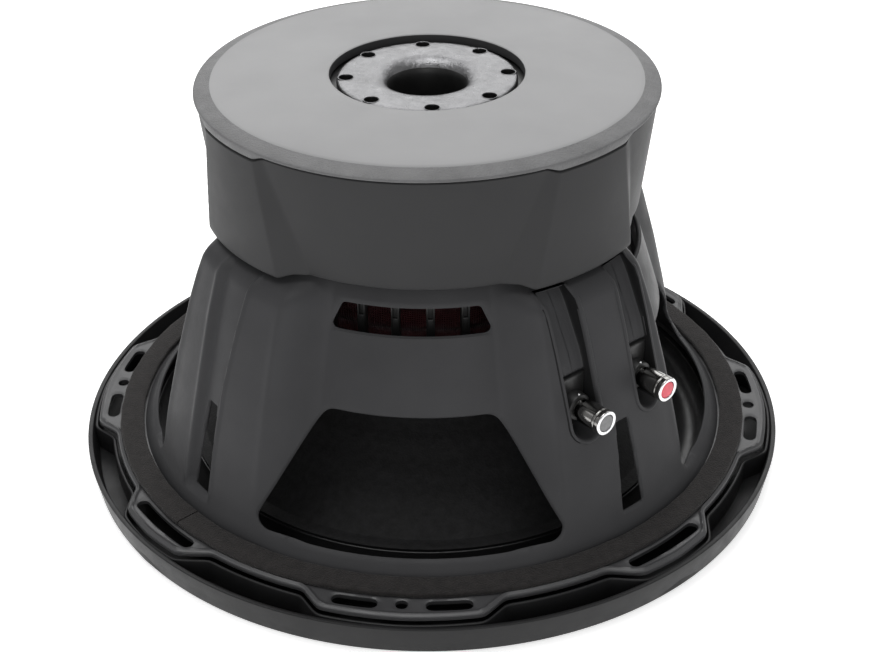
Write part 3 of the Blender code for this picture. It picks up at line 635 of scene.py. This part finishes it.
def make_flange():
    angles = np.arange(0, 360, 0.45)
    shares = np.concatenate([np.linspace(0, 0.55, 9), np.linspace(0.55, 0.94, 18)[1:], [0.965, 0.985, 1.0]])
    inner, outer = 132.6 * MM, eased_tab_radius(angles)
    rows = [polar(inner + (outer - inner) * s, angles)[:, :2] for s in shares]
    flat = np.concatenate(rows)
    sheet = Sheet(flat, ring_faces(len(rows), len(angles)))
    for quarter in range(4):
        window = WINDOW + 90 * quarter
        for low, high in ((-9.9, -4.7), (4.7, 9.9), (38.4, 51.6)):
            sheet.punch(slot_outline(150.5 * MM, window + low, window + high, 2.8 * MM))
        hole = polar(150 * MM, window)[:2] + polar(2.6 * MM, np.arange(0, 360, 15))[:, :2]
        sheet.punch(hole)
    outline = polar(outer, angles)[:, :2]
    gap = np.concatenate([nearest_on(part, outline)[1] for part in np.array_split(sheet.flat, 12)])
    bead = 0.7 * MM * np.exp(-((gap - 1.7 * MM) / (0.55 * MM)) ** 2)
    edge = np.minimum(sheet.edge, gap)
    radius = np.linalg.norm(sheet.flat, axis=1)
    bead *= smoothstep(radius, 146 * MM, 147.2 * MM)
    points = np.column_stack([sheet.flat, 16 * MM + bead])
    up = np.tile([0.0, 0.0, 1.0], (len(points), 1))
    faces = sheet.faces[:, ::-1]
    return thickened("basket_flange", points, up, faces, 2.5 * MM, edge, FLANGE_PAINT, 0.5 * MM)


# Rim

def make_trim():
    wall, inner = 2.3 * MM, 136 * MM
    profile = [
        (160 * MM, 0), (162.3 * MM, 13.3 * MM), (160 * MM, 13.3 * MM), (158 * MM, 2.6 * MM),
        (inner + wall, 2.6 * MM), (inner + wall, 11 * MM), (inner, 11 * MM), (inner, 1.5 * MM),
        (inner + 1.5 * MM, 0),
    ]
    body = turned("trim_body", profile, TRIM, 360, 0.7 * MM)
    angles = np.arange(0, 360, 0.5)
    low, high = 1.5 * MM, 13.1 * MM
    rings = []
    near, below = high - 0.1 * MM, high - 0.5 * MM
    for offset, height in ((2.4, low), (2.4, below), (2.1, near), (1.8, high), (1.4, high), (1.1, near),
                           (0.8, below), (0.8, low)):
        rings.append(polar(eased_tab_radius(angles, offset * MM), angles, height))
    rib = loft("trim_rib", rings, TRIM, closed=True)
    return joined("trim_ring_body", [body, rib])


def make_gasket():
    """Felt, cut as a strip and butted, with a slightly uneven edge."""
    joint = -137.8
    angles = np.linspace(joint + 0.12, joint + 359.88, 500)
    profile = rounded([(136, 16.1), (146.6, 16.1), (146.6, 18.5), (136, 18.5)], 0.9, 4)
    waver = 0.12 * np.sin(np.radians(angles * 23 + 40)) + 0.1 * np.sin(np.radians(angles * 61))
    rings = []
    for k, angle in enumerate(angles):
        line = np.array(profile)
        line[:, 0] += waver[k] * np.where(line[:, 0] > 141, 1, -0.8)
        rings.append(polar(line[:, 0] * MM, angle, line[:, 1] * MM))
    return loft("gasket_felt", rings, FELT, caps=True)


# Boot

BOOT_LEGS = (-144.4, -48.9, 35.6, 131.1)


def off_boot_leg(angle):
    """The angle from the middle of the cover's nearest upright panel."""
    return np.min([np.abs((angle - leg + 180) % 360 - 180) for leg in BOOT_LEGS], axis=0)


def boot_radius(angle, height):
    """Upright over the legs, sloping in over the windows, with a flat facet between."""
    down = np.clip((176 * MM - height) / (50 * MM), 0, 1)
    near, far = 10.4 + 5.6 * down, 13.2 + 10.5 * down
    facet = np.clip((off_boot_leg(angle) - near) / (far - near), 0, 1)
    return 99 * MM - (1.0 * MM + 5.5 * MM * down) * facet


def make_boot():
    angles = np.arange(0, 360, 0.5)
    off = off_boot_leg(angles)
    over_leg = 1 - smoothstep(off, 10.0, 14.6)
    lip = (176.9 - 2.2 * over_leg) * MM
    foot = (126.8 - 2.2 * (1 - smoothstep(off, 15.5, 20))) * MM

    def ring(height, inset=0.0):
        return polar(boot_radius(angles, height) - inset, angles, height)

    rings = [ring(foot, 1.2 * MM), ring(foot + 0.15 * MM, 0.5 * MM), ring(foot + 0.5 * MM, 0.15 * MM)]
    for share in np.linspace(0.02, 1, 24):
        rings.append(ring(foot + (lip - 1.3 * MM - foot) * share))
    rings.append(ring(lip - 0.9 * MM, 0.3 * MM))
    # The groove under the lip is deeper over the windows.
    depth = (1.6 - 0.8 * over_leg) * MM
    rings += [ring(lip - 0.65 * MM, depth), ring(lip - 0.1 * MM, depth)]
    for inset, height in ((0.5, lip - 0.1 * MM), (0.15, lip), (0, lip + 0.25 * MM)):
        rings.append(polar(99 * MM - inset * MM, angles, height))
    for radius, height in (
        (98.95, 177.45), (98.8, 177.8), (98.5, 178.05), (98, 178.25), (97, 178.6), (95.5, 179.05),
        (94, 179.45), (92.6, 179.8), (91.9, 180), (91.3, 180.18), (90, 180.32), (86, 180.5), (80, 180.68),
        (70, 180.85), (58, 180.95), (48, 181), (42.6, 181), (42, 180.93), (41.65, 180.7), (41.5, 180.3),
        (41.5, 177),
    ):
        rings.append(polar(radius * MM, angles, height * MM))
    rings.append(polar(95 * MM, angles, 176.9 * MM))
    rings.append(ring(np.full(len(angles), 170 * MM), 2.6 * MM))
    rings.append(ring(foot, 2.6 * MM))
    boot = loft("boot_cover", rings, [BOOT, BOOT_GRAIN_AND_SHEEN, BOOT_PAINTED_SHEEN], closed=True, sharp=34)
    # The crown is smooth and painted lighter than the sides: a painted sheen. The band round it has a coarser
    # grain and is painted lighter too: a painted sheen. The bore's edge is like the sides.
    for face in boot.data.polygons:
        radius = Vector(face.center[:2]).length
        if face.center.z > 177.3 * MM and face.normal.z > (0.1 if radius > 60 * MM else 0.8):
            face.material_index = 1 if radius > 91.6 * MM else 2
        elif radius > 98.3 * MM and face.center.z > lip.min():
            face.material_index = 1
    return boot


# Motor

def make_yoke():
    """Back plate, pole and raised boss in one forging, with a vent and eight small holes."""
    profile = [
        (80, 169.6), (80, 175.6), (79.6, 175.8), (38.6, 175.8), (38.6, 177.2), (38.4, 178), (37.8, 178.6),
        (36.8, 178.9), (35.6, 179), (31, 179), (24.6, 179), (22.8, 178.85), (21.2, 178.5), (19.9, 177.9),
        (18.8, 177.1), (17.9, 176.2), (17.2, 175.2), (16.7, 174), (16.4, 172.6), (16.2, 171), (16.1, 168.5),
        (16.1, 129), (30.3, 129), (30.3, 169.6),
    ]
    angles = np.arange(0, 360, 1.5)
    rings = [polar(r * MM, angles, z * MM) for r, z in profile]
    yoke = loft("yoke_forging", rings, [ZINC, STEEL_PAINTED_SHADE], closed=True)
    # The back plate round the boss and the vent's bore get a near-black copy of the steel: painted shade.
    for face in yoke.data.polygons:
        radius = Vector(face.center[:2]).length
        if radius > 38.7 * MM or (radius < 17.5 * MM and face.center.z < 175.7 * MM):
            face.material_index = 1
    cutters, rims = [], []
    for k in range(8):
        place = Matrix.Translation((*polar(34.5 * MM, -87 + 45 * k)[:2], 159 * MM))
        cutters.append(placed(drill(3.1 * MM, 30 * MM, STEEL_PAINTED_SHADE, 28), place))
        rim = turned("vent_rim", [(3.05 * MM, 19.6 * MM), (3.65 * MM, 19.6 * MM), (3.5 * MM, 20.15 * MM),
                                  (3.15 * MM, 20.15 * MM)], ZINC, 28, 0.15 * MM)
        rims.append(placed(rim, place))
    cut(yoke, joined("vents", cutters))
    stands_for(joined("vent_rims", rims), "frame", "zinc_steel", "t_yoke")
    return yoke


def drill(radius, length, mat, steps):
    """A plain cylinder from the origin up, to cut a round hole with."""
    return turned("drill", [(0, 0), (radius, 0), (radius, length), (0, length)], mat, steps, 0)


def cut(obj, cutter):
    """A Boolean difference, applied."""
    mod = obj.modifiers.new("cut", "BOOLEAN")
    mod.object = cutter
    mod.solver = "EXACT"
    graph = bpy.context.evaluated_depsgraph_get()
    mesh = bpy.data.meshes.new_from_object(obj.evaluated_get(graph))
    obj.modifiers.clear()
    obj.data = mesh
    mesh.set_sharp_from_angle(angle=radians(SHARP))
    bpy.data.objects.remove(cutter)


def make_magnet(name, low):
    high = low + 15.7 * MM
    profile = [(82 * MM, low), (84 * MM, low + 2 * MM), (84 * MM, high - 2 * MM), (82 * MM, high),
               (46 * MM, high), (46 * MM, low)]
    return turned(name, profile, FERRITE, 180, 0.8 * MM)


# Moving parts

def make_cone():
    """A pulp cone with a few shallow ribs pressed round it."""
    steps = 160
    angles = np.arange(steps) * 360 / steps
    back = [(114, 14.2), (111, 14.2), (108, 14.3)]
    shares = np.linspace(0, 1, 30)
    for share in shares[1:]:
        radius = 108 - (108 - 36.5) * share
        bulge = 1.2 * sin(pi * share)
        ripple = 0.18 * sin(share * pi * 14) * sin(pi * share)
        back.append((radius + bulge * 0.4, 14.3 + 59.7 * share - bulge + ripple))
    back += [(34.5, 74.1), (32.9, 74)]
    front = [(32.9, 72.8), (35.6, 72.6)]
    for share in shares[::-1][1:]:
        radius = 107 - (107 - 36) * share
        bulge = 1.2 * sin(pi * share)
        ripple = 0.18 * sin(share * pi * 14) * sin(pi * share)
        front.append((radius + bulge * 0.4, 13.2 + 59.6 * share - bulge + ripple))
    front.append((114, 13.2))
    line = rounded([(r * MM, z * MM) for r, z in back + front], 0.2 * MM, 2)
    return loft("cone_pulp", [polar(r, angles, z) for r, z in line], CONE_PAPER, closed=True)


def make_cap():
    steps = 40
    rim, base, depth, thick = 58, 52.6, 17, 1.2
    shares = np.linspace(0, 1, steps)
    front = [(rim * s, base - depth * (1 - s**2)) for s in shares]
    back = [(r, z + thick) for r, z in front[::-1]]
    line = [(r * MM, z * MM) for r, z in front + back]
    angles = np.arange(0, 360, 3)
    return loft("cap_dome", [polar(r, angles, z) for r, z in line], CAP_PLASTIC, closed=True)


def make_surround():
    middle, radius, level, thick = 122.5, 9, 11.8, 1.1
    arc = np.linspace(0, pi, 24)
    outer = [(middle + radius * cos(a), level - radius * sin(a)) for a in arc]
    inner = [(middle + (radius - thick) * cos(a), level + thick - radius * sin(a)) for a in arc]
    high = level + thick
    line = [(146, level)] + outer + [(107, level), (107, high)] + inner[::-1] + [(146, high)]
    line = rounded([(r * MM, z * MM) for r, z in line], 0.5 * MM, 3)
    angles = np.arange(0, 360, 1.5)
    rings = [polar(r, angles, z) for r, z in line]
    return loft("surround_roll", rings, SURROUND_RUBBER, closed=True, sharp=60)


def spider_height(radius):
    inner, outer, waves = 37.2 * MM, 77 * MM, 2
    share = np.clip((outer - radius) / (outer - inner), 0, 1)
    return 92 * MM + 2.2 * MM * np.sin(share * waves * 2 * pi)


def make_spider():
    radii = np.linspace(33.2, 91, 90) * MM
    low = [(r, float(spider_height(r))) for r in radii]
    line = low[::-1] + [(r, z + 1 * MM) for r, z in low]
    angles = np.arange(0, 360, 3)
    return loft("spider_cloth_disc", [polar(r, angles, z) for r, z in line], CLOTH, closed=True, sharp=60)


def weigh(obj):
    """Bakes a piece's transform into its mesh and reads its points."""
    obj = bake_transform(obj)
    co = np.zeros(len(obj.data.vertices) * 3)
    obj.data.vertices.foreach_get("co", co)
    return obj


def make_standoff():
    """A ring of channel-shaped posts between a base ring and a top ring."""
    base = turned("standoff_base", [(82.5 * MM, 95.9 * MM), (78 * MM, 95.9 * MM), (78 * MM, 93.4 * MM),
                                    (91 * MM, 93.4 * MM), (91 * MM, 95.9 * MM)], BLACK_PLASTIC, 180, 0.5 * MM)
    top = turned("standoff_top", [(82.5 * MM, 122 * MM), (82.5 * MM, 126.1 * MM), (79.2 * MM, 126.1 * MM),
                                  (79.2 * MM, 122 * MM)], BLACK_PLASTIC, 180, 0.4 * MM)
    posts = []
    for k in range(36):
        # A web, two rails on its outer face, and a foot between the rails.
        for low, high in (((-1.5, 79.4, 95), (1.5, 81.2, 123)), ((-1.75, 79.2, 95), (-0.95, 82.6, 123)),
                          ((0.95, 79.2, 95), (1.75, 82.6, 123)), ((-1.6, 79.6, 95), (1.6, 82.5, 107.4))):
            bar = bevelled_box("bar", Vector(low) * MM, Vector(high) * MM, BLACK_PLASTIC, 0.25 * MM)
            posts.append(placed(bar, outward(WINDOW + 5 + 10 * k)))
    return joined("standoff_ring", [base, top] + posts)


def bevelled_box(name, low, high, mat, width):
    bm = bmesh.new()
    bmesh.ops.create_cube(bm, size=1)
    size = Vector(high) - Vector(low)
    bmesh.ops.scale(bm, verts=bm.verts, vec=size)
    bmesh.ops.translate(bm, verts=bm.verts, vec=(Vector(high) + Vector(low)) / 2)
    bmesh.ops.bevel(bm, geom=bm.edges, offset=width, segments=2, affect="EDGES", profile=0.5)
    mesh = bpy.data.meshes.new(name)
    bm.to_mesh(mesh)
    bm.free()
    mesh.shade_smooth()
    mesh.set_sharp_from_angle(angle=radians(SHARP))
    mesh.materials.append(mat)
    obj = bpy.data.objects.new(name, mesh)
    bpy.context.scene.collection.objects.link(obj)
    return obj


# Terminals

def swept(name, route, radius, mat, sides=10):
    """A round bar along a line of points, with closed ends."""
    route = np.asarray(route)
    ahead = np.gradient(route, axis=0)
    ahead /= np.linalg.norm(ahead, axis=1, keepdims=True)
    normal = np.cross(ahead[0], [0.3, 0.2, 0.93])
    rings = []
    for point, direction in zip(route, ahead):
        normal = normal - direction * (normal @ direction)
        normal /= np.linalg.norm(normal)
        other = np.cross(direction, normal)
        turn = np.arange(sides) * 2 * pi / sides
        rings.append(point + radius * (np.outer(np.cos(turn), normal) + np.outer(np.sin(turn), other)))
    return loft(name, rings, mat, caps=True, sharp=60)


def make_terminal(label, pair, way):
    angle = LEG + 90 * pair
    across = TERMINAL_ACROSS * way
    height = TERMINAL_HEIGHT
    face, base, end = 110.3 * MM, 120.5 * MM, 130 * MM
    nose = base - face

    rings = []
    for inset, depth in ((0, 107.3), (0, 109.8), (0.25, 110.15), (0.7, 110.3)):
        margin = (0.35 + inset) * MM
        line = stadium(0, POCKET_HALF - margin, POCKET_FOOT + margin, (88 - inset) * MM)
        flat = np.stack([line[:, 0] + across, np.full(len(line), depth * MM), line[:, 1]], -1)
        rings.append(in_frame(outward(angle), flat))
    plate = loft(f"insulator_{label}", rings, BLACK_PLASTIC, caps=True)
    low, high = -1 * MM, 4.5 * MM
    boss = turned("boss", [(0, low), (6.1 * MM, low), (5.7 * MM, high), (0, high)], BLACK_PLASTIC, 48)
    plate = joined(f"insulator_{label}", [plate, placed(boss, along_axis(angle, across, height, face))])
    stands_for(plate, "frame", "black_plastic", f"terminal_plate_{label}")

    tip = end - face - 5.3 * MM
    post = [
        (0, tip), (2 * MM, tip), (2 * MM, nose + 0.9 * MM), (3.9 * MM, nose + 0.9 * MM),
        (4.3 * MM, nose - 0.4 * MM), (4.35 * MM, 3.3 * MM), (2.2 * MM, 3.3 * MM), (2.2 * MM, -9 * MM),
        (0, -9 * MM),
    ]
    body = turned(f"post_{label}", post, DARK_CHROME, 48, 0.2 * MM)
    placed(body, along_axis(angle, across, height, face))
    place = outward(angle) @ Matrix.Translation((across, base - 3 * MM, height - 10 * MM))
    cut(body, placed(drill(1.15 * MM, 20 * MM, DARK_CHROME, 18), place))
    stands_for(body, "frame", "chrome", f"terminal_post_{label}")
    stud = turned(f"stud_{label}", [(0, 0), (0.55 * MM, 0), (0.55 * MM, 0.9 * MM), (0.4 * MM, 1.3 * MM),
                                    (0, 1.4 * MM)], CHROME, 20, 0.15 * MM)
    placed(stud, outward(angle) @ Matrix.Translation((across, face + 3.7 * MM, height + 5.1 * MM)))
    stands_for(stud, "frame", "chrome", f"terminal_post_{label}")

    # The sleeve flares slightly to an end with two turned rings.
    sleeve = [
        (5.1, -2.5), (5.2, -2.2), (5.25, 5.6), (5.4, 5.9), (5.4, 6.5), (5.2, 6.8), (5.2, 7.1), (5.4, 7.4),
        (5.4, 9.1), (5.15, 9.5), (4.0, 9.5), (3.75, 9.3), (3.7, 8.6), (0, 8.6), (0, 7.5), (4.6, 7.5),
        (4.6, -2.5),
    ]
    button = turned(f"sleeve_{label}", [(r * MM, z * MM) for r, z in sleeve], DARK_CHROME, 56, 0.2 * MM)
    button.data.materials.append(CHROME)
    for side in button.data.polygons:
        if side.center.z > 9.15 * MM:
            side.material_index = 1
    placed(button, along_axis(angle, across, height, base))
    stands_for(button, f"button_{label}", "chrome", f"terminal_button_{label}")

    colour, slot = (RED, "red_plastic") if way < 0 else (GREY, "grey_plastic")
    disc = turned(f"disc_{label}", [(0, 0), (3.65 * MM, 0), (3.6 * MM, 0.5 * MM), (3.1 * MM, 0.7 * MM),
                                    (0, 0.75 * MM)], colour, 32, 0.15 * MM)
    placed(disc, along_axis(angle, across, height, end - 0.85 * MM))
    stands_for(disc, f"button_{label}", slot, f"terminal_insert_{label}")

    turns = np.linspace(0, 3, 73)
    coil = 1.6 * MM + 5.2 * MM * turns / 3
    route = np.stack([3 * MM * np.cos(2 * pi * turns), 3 * MM * np.sin(2 * pi * turns), coil], -1)
    route = in_frame(along_axis(angle, across, height, base), route)
    spring = swept(f"spring_{label}", route, 0.25 * MM, SPRING, 8)
    stands_for(spring, "frame", "spring_steel", f"terminal_spring_{label}")
    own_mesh(spring)

    low, high = Vector((-4, -0.4, -4.5)) * MM, Vector((4, 0.4, 9)) * MM
    lug = bevelled_box(f"tag_{label}", low, high, TIN, 0.15 * MM)
    eye = Matrix.Translation((0, -2 * MM, 6 * MM)) @ Matrix.Rotation(-pi / 2, 4, "X")
    cut(lug, placed(drill(1.3 * MM, 4 * MM, TIN, 20), eye))
    placed(lug, outward(angle) @ Matrix.Translation((across, 104.4 * MM, height)))
    stands_for(lug, "frame", "tin_plate", f"terminal_lug_{label}")


def make_lead(label, pair, way):
    """A braided lead from the tag to the coil former, slack enough for the cone."""
    angle = LEG + 90 * pair
    across = TERMINAL_ACROSS / MM * way
    knots = [
        (across, 102.6, 88), (across, 100, 88.5), (across, 95, 86), (across * 0.95, 86, 80),
        (across * 0.85, 76, 76), (across * 0.75, 64, 76), (across * 0.62, 52, 80), (across * 0.5, 42, 84.5),
        (across * 0.42, 36.5, 86),
    ]
    knots = np.array(knots) * MM
    fine = np.linspace(0, len(knots) - 1, 60)
    route = np.stack([np.interp(fine, np.arange(len(knots)), knots[:, k]) for k in range(3)], -1)
    for _ in range(4):
        route[1:-1] = (route[:-2] + 2 * route[1:-1] + route[2:]) / 4
    lead = swept(f"lead_braid_{label}", in_frame(outward(angle), route), 0.9 * MM, BRAID, 10)
    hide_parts(f"lead_{label}")
    weigh(lead)


# Assembly

wall = make_wall()
stands_for(wall, "frame", "black_paint", "basket")
pockets = [make_pocket(LEG + 180 * pair, way) for pair in (0, 1) for way in (-1, 1)]
stands_for(joined("basket_pockets", pockets), "frame", "black_paint", "basket")
stands_for(make_flange(), "frame", "black_paint", "basket")
stands_for(make_trim(), "frame", "trim_plastic", "trim_ring")
stands_for(make_gasket(), "frame", "felt", "rear_gasket")
stands_for(make_boot(), "frame", "boot_rubber", "magnet_boot")
stands_for(make_yoke(), "frame", "zinc_steel", "t_yoke")
plate = tube("front_plate", 36.5 * MM, 80 * MM, 129.3 * MM, 137.3 * MM, ZINC, 180, 0.6 * MM)
stands_for(plate, "frame", "zinc_steel", "top_plate")
stands_for(make_magnet("ferrite_front", 137.6 * MM), "frame", "ferrite", "magnet_front")
stands_for(make_magnet("ferrite_rear", 153.6 * MM), "frame", "ferrite", "magnet_rear")
stands_for(make_standoff(), "frame", "black_plastic", "spider_standoff")
stands_for(make_cone(), "cone_assembly", "cone_paper", "cone")
stands_for(make_cap(), "cone_assembly", "cap_plastic", "dust_cap")
former = tube("former_tube", 31.6 * MM, 32.5 * MM, 66 * MM, 147 * MM, FOIL, 120, 0.1 * MM)
stands_for(former, "cone_assembly", "former_foil", "coil_former")
for name, inner in (("a", 32.8 * MM), ("b", 34.1 * MM)):
    outer = inner + 1 * MM
    winding = tube(f"winding_{name}", inner, outer, 120 * MM, 146 * MM, COPPER, 120, 0.15 * MM)
    stands_for(winding, "cone_assembly", "copper_wire", f"coil_winding_{name}")
for piece, slot, node, fixed, moving in (
    (make_surround(), "surround_rubber", "surround", 131.5 * MM, 113.5 * MM),
    (make_spider(), "spider_cloth", "spider", 78 * MM, 36 * MM),
):
    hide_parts(node)
    weigh(piece)
for terminal in TERMINALS:
    make_terminal(*terminal)
    make_lead(*terminal)
for k in range(1, 5):
    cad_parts[f"basket_screw_{k}"].data.materials.clear()
    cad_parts[f"basket_screw_{k}"].data.materials.append(ZINC)


# Studio

def make_studio():
    mat, tree, shader, coords = nodes_of("floor_paper", (0.92, 0.92, 0.92), 0.9)
    tree.links.new(mixed(tree, noise(tree, coords, 3), (0.9, 0.9, 0.9), (0.93, 0.93, 0.93)),
                   shader.inputs["Base Color"])
    shader.inputs["Emission Color"].default_value = (1, 1, 1, 1)
    shader.inputs["Emission Strength"].default_value = 0.6
    half, level = 6.0, -0.0004  # just under the ring that the speaker stands on
    corners = [(-half, -half, level), (half, -half, level), (half, half, level), (-half, half, level)]
    floor = mesh_object("floor", corners, [(0, 1, 2, 3)], mat)
    world = bpy.data.worlds.new("studio")
    world.use_nodes = True
    world.node_tree.nodes["Background"].inputs["Color"].default_value = (1, 1, 1, 1)
    world.node_tree.nodes["Background"].inputs["Strength"].default_value = 0.32
    bpy.context.scene.world = world
    for name, place, size, power in (
        ("key_behind", (0.0, 1.2, 0.9), (2.0, 1.0), 13),
        ("overhead", (-0.15, 0.0, 1.5), (1.1, 1.1), 13),
        ("left_strip", (-1.1, 0.2, 0.5), (0.4, 1.0), 0.6),
        ("right_strip", (1.1, 0.2, 0.5), (0.4, 1.0), 0.6),
        ("front_fill", (0.0, -1.5, 0.5), (1.0, 1.0), 4.0),
    ):
        data = bpy.data.lights.new(name, "AREA")
        data.shape = "RECTANGLE"
        data.size, data.size_y = size
        data.energy = power
        light = bpy.data.objects.new(name, data)
        light.location = place
        light.rotation_euler = (Vector((0, 0, 0.1)) - Vector(place)).to_track_quat("-Z", "Y").to_euler()
        bpy.context.scene.collection.objects.link(light)
    bpy.context.scene.view_settings.view_transform = "Standard"


def make_camera():
    focal, sensor, width = 1571.08, 36.0, 869
    yaw, pitch, roll = 0.0029107, 0.5526619, -0.0122744
    ahead = Vector((sin(yaw) * cos(pitch), cos(yaw) * cos(pitch), -sin(pitch)))
    right = Vector((cos(yaw), -sin(yaw), 0))
    up = right.cross(ahead)
    x_axis = right * cos(roll) + up * sin(roll)
    y_axis = up * cos(roll) - right * sin(roll)
    data = bpy.data.cameras.new("camera")
    data.sensor_width = sensor
    data.lens = focal * sensor / width
    data.clip_start, data.clip_end = 0.01, 50
    camera = bpy.data.objects.new("camera", data)
    matrix = Matrix((x_axis, y_axis, -ahead)).transposed().to_4x4()
    camera.matrix_world = Matrix.Translation((0, -0.6236433, 0.4382170)) @ matrix
    bpy.context.scene.collection.objects.link(camera)
    bpy.context.scene.camera = camera


make_studio()
make_camera()
